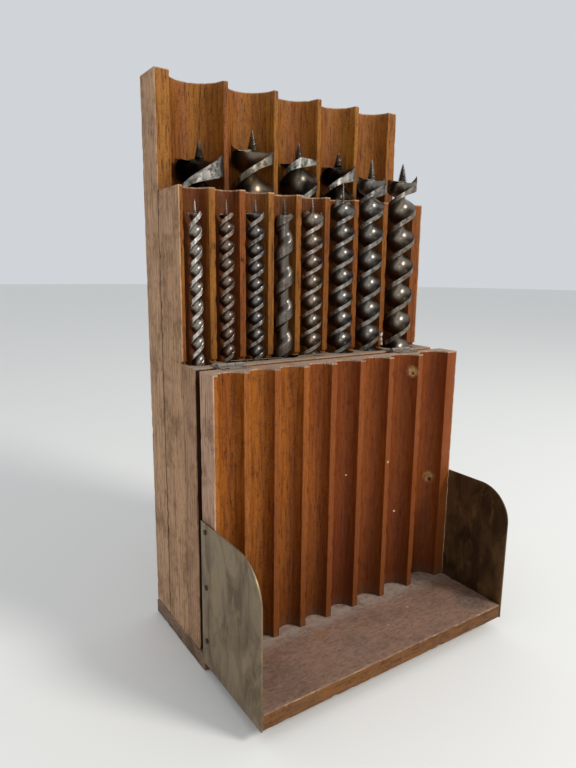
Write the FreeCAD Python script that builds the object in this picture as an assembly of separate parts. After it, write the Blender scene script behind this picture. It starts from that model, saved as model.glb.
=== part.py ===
import FreeCAD, Part
import math
import os

from FreeCAD import Placement, Rotation, Vector

# Hinged wooden case for thirteen auger bits, shown open with every bit standing in its bore.
#
# Millimetres, +Z up, +X to the right, +Y to the back. The origin is the centre of the base board's
# underside. Three boards are coved along their joints, so that each joint line is a row of round
# bores. The upper part of the front board is the hinged lid, which swings forwards and down.

# ---------------------------------------------------------------- driving dimensions
SIXTEENTH = 25.4 / 16

CASE_WIDTH = 159.4
BACK_THICKNESS = 19.4
MIDDLE_THICKNESS = 25.7
LID_THICKNESS = 13.6
LID_FACE_GAP = 0.4            # between the closed lid's lands and the middle block's lands
BACK_HEIGHT = 291.4           # both heights are measured from the top of the base board
MIDDLE_HEIGHT = 234.3
LID_FOOT_HEIGHT = 6.8         # the open lid's underside above the bench
ARRIS_RADIUS = 0.8            # worn outer corners of the boards

BASE_THICKNESS = 8.4
BASE_LIP = 6.5                # how far the base stands in front, as the stop for the open lid
BASE_OVERHANG = 0.6           # at each side
BASE_EDGE_RADIUS = 2.0

LID_KERF = 1.4                # saw cut that parted the lid from the board below it
KERF_DEPTH = 1.6              # how far that cut runs on into the middle block
LID_HEADROOM = 1.5            # between the back block and the closed lid's top board
LID_SIDE_GAP = 0.3            # between the case's sides and the lid's side plates
LID_TOP_THICKNESS = 8.3
LID_TOP_SETBACK = 1.6         # the closed top board ends this far short of the case's back

PLATE_THICKNESS = 0.9
PLATE_HEIGHT = 77.0
PLATE_CORNER_RADIUS = 19.6
PLATE_NAIL_INSET = 5.0        # from the plate's straight edge
PLATE_NAIL_PITCH = 29.2
PLATE_NAIL_FIRST = 14.2       # from the outer face of the lid's top board
PLATE_NAIL_COUNT = 3

# each bit's length by its nominal size in sixteenths of an inch, from left to right
FRONT_BIT_LENGTHS = {4: 228.4, 5: 229.4, 6: 229.9, 7: 232.0, 8: 233.2, 9: 242.6, 10: 256.8, 11: 256.8}
BACK_BIT_LENGTHS = {16: 260.3, 15: 269.0, 14: 265.6, 13: 264.1, 12: 257.4}
FRONT_LEFT_LAND = 2.4
FRONT_LAND = 3.5
FRONT_CLEARANCE = 1.35        # bore radius less bit radius in the front row
FRONT_SMALLEST_BORE = 6.7     # radius of the cutter that made the narrowest bores
BACK_LEFT_LAND = 8.2
BACK_LAND = 3.2
BACK_CLEARANCE = 2.0

SOLID_CENTRE_BIT = 7          # the one bit with a single twist round a solid core
BIT_LEANS = {4: -0.7, 5: -0.8, 6: -1.1, 7: -0.8, 8: -0.9, 9: 0.2, 10: -0.9, 11: 0.2,
             12: 0.0, 13: 0.6, 14: 0.6, 15: 0.4, 16: 0.4}     # each bit's offset in its bore, in X
BIT_HEAD_ANGLES = {4: -23, 5: -66, 6: -2, 7: -73, 8: 50, 9: 31, 10: -12, 11: -41,
                   12: -34, 13: -36, 14: -66, 15: -36, 16: -38}    # which way the cutters point
RIB_PITCHES = {4: 8.9, 5: 8.65, 6: 8.6, 7: 17.4, 8: 10.6, 9: 11.9, 10: 14.3, 11: 16.6,
               12: 18.1, 13: 19.6, 14: 21.1, 15: 22.6, 16: 24.1}    # from one rib up to the next
LEAD_SCREW_HEIGHTS = {4: 6.4, 5: 7.3, 6: 6.2, 7: 8.9, 8: 7.4, 9: 10.5, 10: 11.3, 11: 12.1,
                      12: 12.9, 13: 10.6, 14: 10.7, 15: 12.1, 16: 11.1}    # above the cutting edges
TWIST_FACETS = 16             # straight steps in one turn of a twist

# sizes that grow with the bit: so many millimetres, and so much of the bit's diameter
TANG_SIDE = (6.4, 0.12)
TANG_TIP_SIDE = 4.6
TANG_LENGTH = 30.0
SHANK_RADIUS = (1.7, 0.14)
NECK_LENGTH = (0.0, 0.8)      # taper from the shank to the twist
NECK_TOP_RADIUS = (0.0, 0.3)
TWIST_LENGTH = (92.0, 1.5)
RIB_WIDTH = (1.8, 0.17)       # of the flat rim, round the bit
WEB_THICKNESS = (1.3, 0.17)
LEAD_SCREW_RADIUS = (0.0, 0.115)
LEAD_SCREW_POINT = 0.15
SPUR_HEIGHT = (0.0, 0.11)
ROOT_OVERLAP = 1.0            # how far joined parts of a bit run into each other

# the twist's cross-section, in shares of the bit's radius
TWIST_RIM = 0.95
SOLID_CORE = 0.55
SOLID_CORE_CORNERS = (60, 105, 150, 195, 240, 285, 330)     # degrees round from the rib
SOLID_SLOPE_START = 200                # degrees, where the core begins to rise to the rib again
SOLID_SLOPE_POWER = 1.5
SPUR_INNER, SPUR_OUTER = 0.70, 0.94
SPUR_FOOT, SPUR_POINT = 0.48, 0.12     # lengths along the rim
SPUR_FRONT = 0.24                      # its leading side, ahead of the rib's middle
SPUR_FOOT_SHARE = 0.2                  # share of the spur's height below its crown

HINGE_LENGTH = 14.0
HINGE_LEAF_THICKNESS = 0.5
HINGE_LEAF_DEPTH = 4.4        # how far a leaf reaches over the wood
HINGE_PIN_RADIUS = 0.7
HINGE_PIN_CLEARANCE = 0.05
HINGE_KNUCKLE_RADIUS = 1.4
HINGE_KNUCKLE_GAP = 0.3
HINGE_SCREW_SPACING = 9.0
HINGE_SCREW_RADIUS = 0.8
HINGE_SCREW_HEAD_RADIUS = 1.4
HINGE_SCREW_LENGTH = 7.0

BASE_SCREW_RADIUS = 1.6
BASE_SCREW_HEAD_RADIUS = 3.2
BASE_SCREW_LENGTH = 26.0
BASE_SCREW_INSET = 4.1        # from the case's side
BASE_SCREW_BACK_Y_INSET = 9.7          # the back pair, behind the joint between the blocks
BASE_SCREW_MIDDLE_Y_INSET = 10.8       # the middle pair, in front of that joint
LID_NAIL_RADIUS = 0.9
LID_NAIL_HEAD_RADIUS = 1.6
LID_NAIL_HEAD_THICKNESS = 0.8
LID_NAIL_LENGTH = 24.0
PLATE_NAIL_RADIUS = 0.6
PLATE_NAIL_HEAD_RADIUS = 1.3
PLATE_NAIL_HEAD_THICKNESS = 0.5
PLATE_NAIL_LENGTH = 9.0
FASTENER_CLEARANCE = 0.02     # round a screw or nail in its hole

# ---------------------------------------------------------------- places worked out from them
LOWER_THICKNESS = LID_THICKNESS + LID_FACE_GAP
BASE_DEPTH = BACK_THICKNESS + MIDDLE_THICKNESS + LOWER_THICKNESS + BASE_LIP
BACK_Y = BASE_DEPTH / 2
BACK_JOINT_Y = BACK_Y - BACK_THICKNESS
FRONT_JOINT_Y = BACK_JOINT_Y - MIDDLE_THICKNESS
FRONT_Y = FRONT_JOINT_Y - LOWER_THICKNESS
BASE_FRONT_Y = FRONT_Y - BASE_LIP
LID_INNER_Z = BASE_THICKNESS + BACK_HEIGHT + LID_HEADROOM
LID_OUTER_Z = LID_INNER_Z + LID_TOP_THICKNESS
PIN_Z = (LID_OUTER_Z + LID_FOOT_HEIGHT) / 2      # half way between the lid's outer face shut and open
LEDGE_Z = PIN_Z - LID_KERF / 2
LID_EDGE_Z = PIN_Z + LID_KERF / 2
LID_BACK_Y = BACK_Y - LID_TOP_SETBACK
LID_WIDTH = CASE_WIDTH + 2 * LID_SIDE_GAP
PIN_Y = (FRONT_Y + BASE_FRONT_Y) / 2
CASE_LEFT_X = -CASE_WIDTH / 2


def box(x0, x1, y0, y1, z0, z1):
    """A block between two corners."""
    return Part.makeBox(x1 - x0, y1 - y0, z1 - z0, Vector(x0, y0, z0))


def rounded_upright(shape, radius):
    """The block with its four upright corners eased."""
    upright = [e for e in shape.Edges if abs(e.Vertexes[0].Z - e.Vertexes[-1].Z) > 1.0]
    return shape.makeFillet(radius, upright)


def open_lid(shape):
    """A piece of the closed lid, swung down about the hinge pin to where it rests open."""
    turned = shape.copy()
    turned.rotate(Vector(0, PIN_Y, PIN_Z), Vector(1, 0, 0), 180)
    return turned


def bore_row(sizes, left_land, land, radius_of):
    """Centre and radius of each bore in a row, from left to right, by bit size."""
    row = {}
    edge = CASE_LEFT_X + left_land
    for size in sizes:
        radius = radius_of(size)
        row[size] = (edge + radius, radius)
        edge += 2 * radius + land
    return row


def front_radius(size):
    return max(FRONT_SMALLEST_BORE, size * SIXTEENTH / 2 + FRONT_CLEARANCE)


def back_radius(size):
    return size * SIXTEENTH / 2 + BACK_CLEARANCE


FRONT_BORES = bore_row(FRONT_BIT_LENGTHS, FRONT_LEFT_LAND, FRONT_LAND, front_radius)
BACK_BORES = bore_row(BACK_BIT_LENGTHS, BACK_LEFT_LAND, BACK_LAND, back_radius)
BIT_LENGTHS = {**FRONT_BIT_LENGTHS, **BACK_BIT_LENGTHS}

# X of the middle of each front land, from left to right
FRONT_LAND_XS = [x + r + FRONT_LAND / 2 for x, r in FRONT_BORES.values()]
HINGE_PLACES = {"left": FRONT_LAND_XS[0], "right": FRONT_LAND_XS[-2]}
LID_NAIL_XS = [FRONT_LAND_XS[0], FRONT_LAND_XS[3], FRONT_LAND_XS[-2]]


def coves(bores, y, z0, z1):
    """Round cutters for one row of bores."""
    return [Part.makeCylinder(r, z1 - z0, Vector(x, y, z0)) for x, r in bores.values()]


# ---------------------------------------------------------------- the case's boards
def make_base_board():
    half = CASE_WIDTH / 2 + BASE_OVERHANG
    board = box(-half, half, BASE_FRONT_Y, BACK_Y, 0, BASE_THICKNESS)
    lower = [e for e in board.Edges
             if all(v.Z < 0.1 for v in e.Vertexes) and all(v.Y < 0 for v in e.Vertexes)]
    board = board.makeFillet(BASE_EDGE_RADIUS, lower)
    return board.cut([base_screw(x, y, FASTENER_CLEARANCE) for x, y in base_screw_places()])


def make_back_block():
    top = BASE_THICKNESS + BACK_HEIGHT
    half = CASE_WIDTH / 2
    block = rounded_upright(box(-half, half, BACK_JOINT_Y, BACK_Y, BASE_THICKNESS, top), ARRIS_RADIUS)
    screws = [base_screw(x, y, FASTENER_CLEARANCE) for x, y in base_screw_places() if y > BACK_JOINT_Y]
    return block.cut(Part.makeCompound(coves(BACK_BORES, BACK_JOINT_Y, 0, top + 1))).cut(screws)


def make_middle_block():
    top = BASE_THICKNESS + MIDDLE_HEIGHT
    half = CASE_WIDTH / 2
    block = box(-half, half, FRONT_JOINT_Y, BACK_JOINT_Y, BASE_THICKNESS, top)
    block = rounded_upright(block, ARRIS_RADIUS)
    for bores, y in ((BACK_BORES, BACK_JOINT_Y), (FRONT_BORES, FRONT_JOINT_Y)):
        block = block.cut(Part.makeCompound(coves(bores, y, 0, top + 1)))
    kerf = box(-half - 1, half + 1, FRONT_JOINT_Y - 1, FRONT_JOINT_Y + KERF_DEPTH, LEDGE_Z, LID_EDGE_Z)
    screws = [base_screw(x, y, FASTENER_CLEARANCE) for x, y in base_screw_places() if y < BACK_JOINT_Y]
    return block.cut(kerf).cut(screws)


def make_lower_front_board():
    half = CASE_WIDTH / 2
    board = rounded_upright(box(-half, half, FRONT_Y, FRONT_JOINT_Y, BASE_THICKNESS, LEDGE_Z), ARRIS_RADIUS)
    board = board.cut(Part.makeCompound(coves(FRONT_BORES, FRONT_JOINT_Y, 0, LEDGE_Z + 1)))
    return board.cut([fixed_hinge_screw(x, FASTENER_CLEARANCE) for x in hinge_screw_xs()])


# ---------------------------------------------------------------- the lid, built closed
def make_lid_board():
    half = LID_WIDTH / 2
    face_y = FRONT_JOINT_Y - LID_FACE_GAP
    board = rounded_upright(box(-half, half, FRONT_Y, face_y, LID_EDGE_Z, LID_INNER_Z), ARRIS_RADIUS / 2)
    board = board.cut(Part.makeCompound(coves(FRONT_BORES, FRONT_JOINT_Y, 0, LID_OUTER_Z)))
    fixings = [lid_hinge_screw(x, FASTENER_CLEARANCE) for x in hinge_screw_xs()]
    fixings += [lid_nail(x, FASTENER_CLEARANCE) for x in LID_NAIL_XS]
    for side in (-1, 1):
        fixings += [plate_nail(side, n, FASTENER_CLEARANCE) for n in range(PLATE_NAIL_COUNT)]
    return open_lid(board.cut(fixings))


def make_lid_top_board():
    half = LID_WIDTH / 2
    board = box(-half, half, FRONT_Y, LID_BACK_Y, LID_INNER_Z, LID_OUTER_Z)
    return open_lid(board.cut([lid_nail(x, FASTENER_CLEARANCE) for x in LID_NAIL_XS]))


def make_side_plate(side):
    """Sheet end of the lid: square at the hinge side and under the top, one big round corner."""
    low = LID_OUTER_Z - PLATE_HEIGHT
    r = PLATE_CORNER_RADIUS
    corner = Vector(0, LID_BACK_Y - r, low + r)
    bend = corner + Vector(0, r * math.cos(-math.pi / 4), r * math.sin(-math.pi / 4))
    a, b = Vector(0, FRONT_Y, low), Vector(0, LID_BACK_Y - r, low)
    c, d = Vector(0, LID_BACK_Y, low + r), Vector(0, LID_BACK_Y, LID_OUTER_Z)
    e = Vector(0, FRONT_Y, LID_OUTER_Z)
    edges = [Part.LineSegment(a, b).toShape(), Part.Arc(b, bend, c).toShape()]
    edges += [Part.LineSegment(p, q).toShape() for p, q in ((c, d), (d, e), (e, a))]
    plate = Part.Face(Part.Wire(edges)).extrude(Vector(PLATE_THICKNESS, 0, 0))
    plate.translate(Vector(LID_WIDTH / 2 if side > 0 else -LID_WIDTH / 2 - PLATE_THICKNESS, 0, 0))
    return open_lid(plate.cut([plate_nail(side, n, FASTENER_CLEARANCE) for n in range(PLATE_NAIL_COUNT)]))


# ---------------------------------------------------------------- nails and screws
def headed_pin(radius, length, head_radius, head_thickness):
    """Nail along +Z from the origin's face down: round head on top, plain shank below."""
    shank = Part.makeCylinder(radius, length, Vector(0, 0, -length))
    return shank.fuse(Part.makeCylinder(head_radius, head_thickness)).removeSplitter()


def countersunk_screw(radius, length, head_radius, head_depth):
    """Screw whose flat head is at z = 0 and whose shank points down."""
    head = Part.makeCone(radius, head_radius, head_depth, Vector(0, 0, -head_depth))
    shank = Part.makeCylinder(radius, length - head_depth, Vector(0, 0, -length))
    return head.fuse(shank).removeSplitter()


def plate_nail(side, n, grow=0.0):
    z = LID_OUTER_Z - PLATE_NAIL_FIRST - n * PLATE_NAIL_PITCH
    nail = headed_pin(PLATE_NAIL_RADIUS + grow, PLATE_NAIL_LENGTH,
                      PLATE_NAIL_HEAD_RADIUS, PLATE_NAIL_HEAD_THICKNESS)
    turn = Rotation(Vector(0, 1, 0), 90 * side)
    face = side * (LID_WIDTH / 2 + PLATE_THICKNESS)
    nail.Placement = Placement(Vector(face, FRONT_Y + PLATE_NAIL_INSET, z), turn)
    return nail


def lid_nail(x, grow=0.0):
    nail = headed_pin(LID_NAIL_RADIUS + grow, LID_NAIL_LENGTH,
                      LID_NAIL_HEAD_RADIUS + grow, LID_NAIL_HEAD_THICKNESS)
    nail.translate(Vector(x, FRONT_Y + LID_THICKNESS / 2, LID_OUTER_Z - LID_NAIL_HEAD_THICKNESS))
    return nail


def base_screw_places():
    x = CASE_WIDTH / 2 - BASE_SCREW_INSET
    back, middle = BACK_JOINT_Y + BASE_SCREW_BACK_Y_INSET, BACK_JOINT_Y - BASE_SCREW_MIDDLE_Y_INSET
    return [(-x, back), (x, back), (-x, middle), (x, middle)]


def base_screw(x, y, grow=0.0):
    screw = countersunk_screw(BASE_SCREW_RADIUS + grow, BASE_SCREW_LENGTH + grow,
                              BASE_SCREW_HEAD_RADIUS + grow, BASE_SCREW_HEAD_RADIUS - BASE_SCREW_RADIUS)
    screw.Placement = Placement(Vector(x, y, 0), Rotation(Vector(1, 0, 0), 180))
    return screw


def hinge_screw_xs():
    return [x + s * HINGE_SCREW_SPACING / 2 for x in HINGE_PLACES.values() for s in (-1, 1)]


def hinge_screw(grow):
    return countersunk_screw(HINGE_SCREW_RADIUS + grow, HINGE_SCREW_LENGTH + grow,
                             HINGE_SCREW_HEAD_RADIUS + grow, HINGE_LEAF_THICKNESS)


def fixed_hinge_screw(x, grow=0.0):
    """Screw through a leaf on the ledge, pointing down."""
    screw = hinge_screw(grow)
    screw.translate(Vector(x, FRONT_Y + HINGE_LEAF_DEPTH / 2, LEDGE_Z + HINGE_LEAF_THICKNESS))
    return screw


def lid_hinge_screw(x, grow=0.0):
    """The same through a leaf on the closed lid's lower edge, pointing up."""
    screw = hinge_screw(grow)
    place = Vector(x, FRONT_Y + HINGE_LEAF_DEPTH / 2, LID_EDGE_Z - HINGE_LEAF_THICKNESS)
    screw.Placement = Placement(place, Rotation(Vector(1, 0, 0), 180))
    return screw


# ---------------------------------------------------------------- hinges
def knuckle_spans(x):
    """X ranges of the three knuckles: the outer two are the fixed leaf's, the middle one the lid's."""
    third = HINGE_LENGTH / 3
    left = x - HINGE_LENGTH / 2
    half_gap = HINGE_KNUCKLE_GAP / 2
    outer = [(left, left + third - half_gap), (left + 2 * third + half_gap, left + HINGE_LENGTH)]
    return outer, [(left + third + half_gap, left + 2 * third - half_gap)]


def along_x(radius, x0, x1):
    return Part.makeCylinder(radius, x1 - x0, Vector(x0, PIN_Y, PIN_Z), Vector(1, 0, 0))


def hinge_leaf(x, z0, own, other, screws):
    """Leaf with its own knuckles, cleared for the other leaf's."""
    left, right = x - HINGE_LENGTH / 2, x + HINGE_LENGTH / 2
    leaf = box(left, right, PIN_Y, FRONT_Y + HINGE_LEAF_DEPTH, z0, z0 + HINGE_LEAF_THICKNESS)
    reach = HINGE_KNUCKLE_RADIUS + HINGE_KNUCKLE_GAP
    for x0, x1 in other:
        room = (x0 - HINGE_KNUCKLE_GAP, x1 + HINGE_KNUCKLE_GAP)
        leaf = leaf.cut(box(*room, PIN_Y - reach, PIN_Y + reach, PIN_Z - reach, PIN_Z + reach))
    leaf = leaf.fuse([along_x(HINGE_KNUCKLE_RADIUS, x0, x1) for x0, x1 in own])
    leaf = leaf.cut(along_x(HINGE_PIN_RADIUS + HINGE_PIN_CLEARANCE, left - 1, right + 1))
    return leaf.cut(screws).removeSplitter()


def make_fixed_leaf(x):
    outer, middle = knuckle_spans(x)
    screws = [fixed_hinge_screw(s, FASTENER_CLEARANCE) for s in hinge_screw_xs()]
    return hinge_leaf(x, LEDGE_Z, outer, middle, screws)


def make_lid_leaf(x):
    outer, middle = knuckle_spans(x)
    screws = [lid_hinge_screw(s, FASTENER_CLEARANCE) for s in hinge_screw_xs()]
    return open_lid(hinge_leaf(x, LID_EDGE_Z - HINGE_LEAF_THICKNESS, middle, outer, screws))


def make_hinge_pin(x):
    return along_x(HINGE_PIN_RADIUS, x - HINGE_LENGTH / 2, x + HINGE_LENGTH / 2)


# ---------------------------------------------------------------- auger bits
def grown(rule, diameter):
    """A size given as so many millimetres and so much of the bit's diameter."""
    fixed, share = rule
    return fixed + share * diameter


def twist_section(size):
    """Cross-section of the twist as corner points about the bit's axis."""
    diameter = size * SIXTEENTH
    rim = TWIST_RIM * diameter / 2
    edge, web = grown(RIB_WIDTH, diameter) / 2, grown(WEB_THICKNESS, diameter) / 2
    if size != SOLID_CENTRE_BIT:
        return [(rim, -edge), (rim, edge), (0, web), (-rim, edge), (-rim, -edge), (0, -web)]
    section = [(rim, -edge), (rim, edge)]
    core = SOLID_CORE * diameter / 2
    for corner in SOLID_CORE_CORNERS:
        slope = max(0.0, (corner - SOLID_SLOPE_START) / (360 - SOLID_SLOPE_START)) ** SOLID_SLOPE_POWER
        reach = core + (rim - core) * slope
        angle = math.radians(corner)
        section.append((reach * math.cos(angle), reach * math.sin(angle)))
    return section


def twist_lead(size):
    """Height of one whole turn. A double twist has two ribs to the turn."""
    return RIB_PITCHES[size] * (1 if size == SOLID_CENTRE_BIT else 2)


def twisted_bar(section, z0, lead, steps):
    """Right-hand twist of flat facets, closed by a flat cap at each end."""
    levels = []
    for k in range(steps + 1):
        turn = 2 * math.pi * k / TWIST_FACETS
        c, s = math.cos(turn), math.sin(turn)
        z = z0 + lead * k / TWIST_FACETS
        levels.append([Vector(x * c - y * s, x * s + y * c, z) for x, y in section])
    count = len(section)
    facets = [levels[0][::-1], levels[-1]]
    for low, high in zip(levels, levels[1:]):
        for i in range(count):
            j = (i + 1) % count
            facets += [[low[i], low[j], high[i]], [low[j], high[j], high[i]]]
    return Part.Solid(Part.Shell([Part.Face(closed_line(corners)) for corners in facets]))


def closed_line(corners):
    return Part.makePolygon(corners + [corners[0]])


def square(side, z):
    h = side / 2
    return closed_line([Vector(-h, -h, z), Vector(h, -h, z), Vector(h, h, z), Vector(-h, h, z)])


def spur_outline(r, length, z):
    """Plan of a spur at one height: a block on the rim, from its leading side backwards."""
    inner, outer = SPUR_INNER * r, SPUR_OUTER * r
    front, back = SPUR_FRONT * r, (SPUR_FRONT - length) * r
    return closed_line([Vector(inner, back, z), Vector(outer, back, z),
                        Vector(outer, front, z), Vector(inner, front, z)])


def spur(r, z, height, angle):
    """Upright nicker on the rim: a short foot, and a crown that narrows to its leading side."""
    shoulder = z + SPUR_FOOT_SHARE * height
    foot = Part.makeLoft([spur_outline(r, SPUR_FOOT, z - ROOT_OVERLAP),
                          spur_outline(r, SPUR_FOOT, shoulder)], True, True)
    crown = Part.makeLoft([spur_outline(r, SPUR_FOOT, shoulder),
                           spur_outline(r, SPUR_POINT, z + height)], True, True)
    whole = foot.fuse(crown).removeSplitter()
    whole.rotate(Vector(0, 0, 0), Vector(0, 0, 1), angle)
    return whole


def make_bit(size):
    """Bit standing on its tang: square tang, round shank, neck, twist, spurs and lead screw."""
    diameter = size * SIXTEENTH
    lead = twist_lead(size)
    steps = round(grown(TWIST_LENGTH, diameter) / lead * TWIST_FACETS)
    spur_height = grown(SPUR_HEIGHT, diameter)
    head_z = BIT_LENGTHS[size] - LEAD_SCREW_HEIGHTS[size]
    twist_z = head_z - steps * lead / TWIST_FACETS
    neck_z = twist_z - grown(NECK_LENGTH, diameter)
    shank_radius = grown(SHANK_RADIUS, diameter)
    shank_z = TANG_LENGTH - ROOT_OVERLAP
    screw_z = head_z - ROOT_OVERLAP
    head_turn = steps * 360 / TWIST_FACETS

    tang_outlines = [square(TANG_TIP_SIDE, 0), square(grown(TANG_SIDE, diameter), TANG_LENGTH)]
    pieces = [
        Part.makeLoft(tang_outlines, True, True),
        Part.makeCylinder(shank_radius, neck_z - shank_z, Vector(0, 0, shank_z)),
        Part.makeCone(shank_radius, grown(NECK_TOP_RADIUS, diameter), twist_z + ROOT_OVERLAP - neck_z,
                      Vector(0, 0, neck_z)),
        Part.makeCone(grown(LEAD_SCREW_RADIUS, diameter), LEAD_SCREW_POINT, BIT_LENGTHS[size] - screw_z,
                      Vector(0, 0, screw_z)),
        spur(diameter / 2, head_z, spur_height, head_turn),
    ]
    if size != SOLID_CENTRE_BIT:
        pieces.append(spur(diameter / 2, head_z, spur_height, head_turn + 180))
    bit = twisted_bar(twist_section(size), twist_z, lead, steps).fuse(pieces)
    bit.rotate(Vector(0, 0, 0), Vector(0, 0, 1), BIT_HEAD_ANGLES[size] - head_turn)
    bores, y = (FRONT_BORES, FRONT_JOINT_Y) if size in FRONT_BORES else (BACK_BORES, BACK_JOINT_Y)
    centre, _ = bores[size]
    bit.translate(Vector(centre + BIT_LEANS[size], y, BASE_THICKNESS))
    return bit


# ---------------------------------------------------------------- the whole part
def all_nodes():
    nodes = {
        "base_board": make_base_board(),
        "back_block": make_back_block(),
        "middle_block": make_middle_block(),
        "lower_front_board": make_lower_front_board(),
        "base_screws": Part.makeCompound([base_screw(x, y) for x, y in base_screw_places()]),
        "lid_board": make_lid_board(),
        "lid_top_board": make_lid_top_board(),
        "lid_top_nails": Part.makeCompound([open_lid(lid_nail(x)) for x in LID_NAIL_XS]),
        "hinge_screws_case": Part.makeCompound([fixed_hinge_screw(x) for x in hinge_screw_xs()]),
        "hinge_screws_lid": Part.makeCompound([open_lid(lid_hinge_screw(x)) for x in hinge_screw_xs()]),
    }
    for name, side in (("left", -1), ("right", 1)):
        nails = [open_lid(plate_nail(side, n)) for n in range(PLATE_NAIL_COUNT)]
        nodes["side_plate_" + name] = make_side_plate(side)
        nodes["plate_nails_" + name] = Part.makeCompound(nails)
    for name, x in HINGE_PLACES.items():
        nodes["hinge_leaf_case_" + name] = make_fixed_leaf(x)
        nodes["hinge_leaf_lid_" + name] = make_lid_leaf(x)
        nodes["hinge_pin_" + name] = make_hinge_pin(x)
    for size in BIT_LENGTHS:
        nodes["auger_bit_%d" % size] = make_bit(size)
    return nodes


os.makedirs("parts", exist_ok=True)
for node_name, node_shape in all_nodes().items():
    node_shape.exportStep("parts/" + node_name + ".step")
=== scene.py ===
import math

import bpy
from mathutils import Matrix, Vector, noise


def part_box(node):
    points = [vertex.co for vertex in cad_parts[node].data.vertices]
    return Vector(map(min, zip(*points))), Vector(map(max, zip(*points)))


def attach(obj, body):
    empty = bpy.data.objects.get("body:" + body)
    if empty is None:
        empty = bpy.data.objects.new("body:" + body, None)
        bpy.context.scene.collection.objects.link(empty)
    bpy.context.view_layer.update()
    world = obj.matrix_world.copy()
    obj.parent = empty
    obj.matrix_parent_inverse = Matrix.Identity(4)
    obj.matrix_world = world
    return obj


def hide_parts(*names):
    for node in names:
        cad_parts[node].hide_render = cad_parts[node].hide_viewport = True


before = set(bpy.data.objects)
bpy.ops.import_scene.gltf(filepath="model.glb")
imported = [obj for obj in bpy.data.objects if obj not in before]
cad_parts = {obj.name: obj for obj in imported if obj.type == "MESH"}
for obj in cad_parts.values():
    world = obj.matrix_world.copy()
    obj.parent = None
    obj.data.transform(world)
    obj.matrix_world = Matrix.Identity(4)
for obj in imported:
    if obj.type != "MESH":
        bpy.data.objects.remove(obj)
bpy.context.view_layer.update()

# ---------------------------------------------------------------- back block
# The tallest of three boards of reddish hardwood, ploughed with five wide coves by a round plane.
# Varnished in the coves and on the front; its sides and back were left bare and have gone grey.
MM = 0.001
SIXTEENTH = 25.4 / 16 * MM
BACK_BITS = (16, 15, 14, 13, 12)      # from the left, in sixteenths of an inch
BACK_LEFT_LAND = 8.2 * MM
BACK_LAND = 3.2 * MM
BACK_CLEARANCE = 2.0 * MM             # between a bit and its bore, on the radius
COVE_SIDES = 96
CUT_PAST = 2 * MM                     # how far a cutter runs past the wood
ARRIS = 0.7 * MM
BOARD_SLICE = 3.1 * MM
BOARD_WAVE = 0.06 * MM
BOARD_NICK = 0.32 * MM
WAVES_PER_METRE = 60
NICKS_PER_METRE = 420
NICKS_START = 0.12                    # below this value of the noise an arris is whole
NICKS_RISE = 2.5

case_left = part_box("back_block")[0].x
back_joint_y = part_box("back_block")[0].y


def bore_row(sizes, left_land, land, radius_of):
    """Centre and radius of every bore, by bit size."""
    row = {}
    edge = case_left + left_land
    for size in sizes:
        radius = radius_of(size)
        row[size] = (edge + radius, radius)
        edge += 2 * radius + land
    return row


back_bores = bore_row(BACK_BITS, BACK_LEFT_LAND, BACK_LAND, lambda s: s * SIXTEENTH / 2 + BACK_CLEARANCE)


def pick(*pieces):
    """Selects these pieces alone; the first is active."""
    bpy.ops.object.select_all(action="DESELECT")
    for piece in pieces:
        piece.select_set(True)
    bpy.context.view_layer.objects.active = pieces[0]


def block(name, low, high):
    """A squared blank between two corners."""
    bpy.ops.object.select_all(action="DESELECT")
    centre = (Vector(low) + Vector(high)) / 2
    bpy.ops.mesh.primitive_cube_add(size=1, location=centre, scale=Vector(high) - Vector(low))
    blank = bpy.context.object
    blank.name = name
    bpy.ops.object.transform_apply(location=True, rotation=True, scale=True)
    return blank


def rod(x, y, z0, z1, radius, sides=COVE_SIDES, top_radius=None):
    """A round cutter or bar along Z, tapered where top_radius is given."""
    bpy.ops.object.select_all(action="DESELECT")
    bpy.ops.mesh.primitive_cone_add(vertices=sides, radius1=radius,
                                    radius2=radius if top_radius is None else top_radius,
                                    depth=z1 - z0, location=(x, y, (z0 + z1) / 2))
    bar = bpy.context.object
    bpy.ops.object.transform_apply(location=True, rotation=True, scale=True)
    return bar


def join(name, pieces):
    """Makes one mesh of these pieces."""
    pick(*pieces)
    if len(pieces) > 1:
        bpy.ops.object.join()
    pieces[0].name = name
    return pieces[0]


def finish_with(piece, kind, **settings):
    """Adds a modifier with its settings and applies it."""
    modifier = piece.modifiers.new(kind.title(), kind)
    for key, value in settings.items():
        setattr(modifier, key, value)
    pick(piece)
    bpy.ops.object.modifier_apply(modifier=modifier.name)
    return piece


def cut_away(piece, cutters):
    """Takes the cutters' shape out of the piece."""
    cutter = join("cutter", cutters)
    finish_with(piece, "BOOLEAN", operation="DIFFERENCE", solver="EXACT", object=cutter)
    bpy.data.objects.remove(cutter)
    return piece


def ease_edges(piece, width, segments=3):
    """Rounds the sharp edges a little, as sandpaper or a file does."""
    return finish_with(piece, "BEVEL", width=width, segments=segments, limit_method="ANGLE",
                       angle_limit=math.radians(50))


def shade_smooth(piece, sharpest=40):
    """Shades the piece smooth over every edge of fewer degrees than this."""
    pick(piece)
    bpy.ops.object.shade_smooth_by_angle(angle=math.radians(sharpest))
    return piece


def slice_along(piece, axis, spacing):
    """Cuts the faces every so far along an axis, so that worn edges have points to move."""
    values = [v.co[axis] for v in piece.data.vertices]
    low, high = min(values), max(values)
    normal = Vector((0, 0, 0))
    normal[axis] = 1
    pick(piece)
    bpy.ops.object.mode_set(mode="EDIT")
    for k in range(1, int((high - low) / spacing)):
        bpy.ops.mesh.select_all(action="SELECT")
        bpy.ops.mesh.bisect(plane_co=normal * (low + k * spacing), plane_no=normal)
    bpy.ops.object.mode_set(mode="OBJECT")
    return piece


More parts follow.
